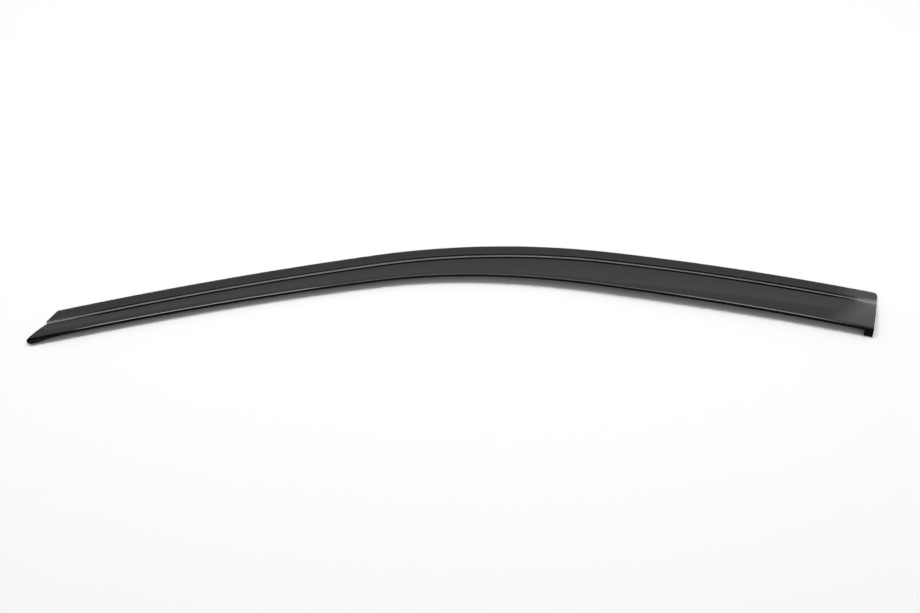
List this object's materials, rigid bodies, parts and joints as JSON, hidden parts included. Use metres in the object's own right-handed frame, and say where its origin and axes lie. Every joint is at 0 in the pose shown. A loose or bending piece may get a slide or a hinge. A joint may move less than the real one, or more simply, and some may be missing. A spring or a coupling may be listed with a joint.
{
  "type": "window rain deflector",
  "caption": "Long curved side-window rain deflector in smoke-tinted acrylic: flat flange, raised face, pointed front tip, closed rear end with a small foot.",
  "frame": {"origin": "middle of the footprint, on the plane of the flange's flat back", "axes": "+X from the pointed front tip to the square rear end, +Y to the flange's rim, +Z away from the window, out of the flange's top"},
  "size_m": [0.9986, 0.1676, 0.0142],
  "materials": {
    "smoke_acrylic": "gloss, dark smoke tint"
  },
  "bodies": {
    "root": {"visor": "smoke_acrylic"}
  },
  "joints": []
}
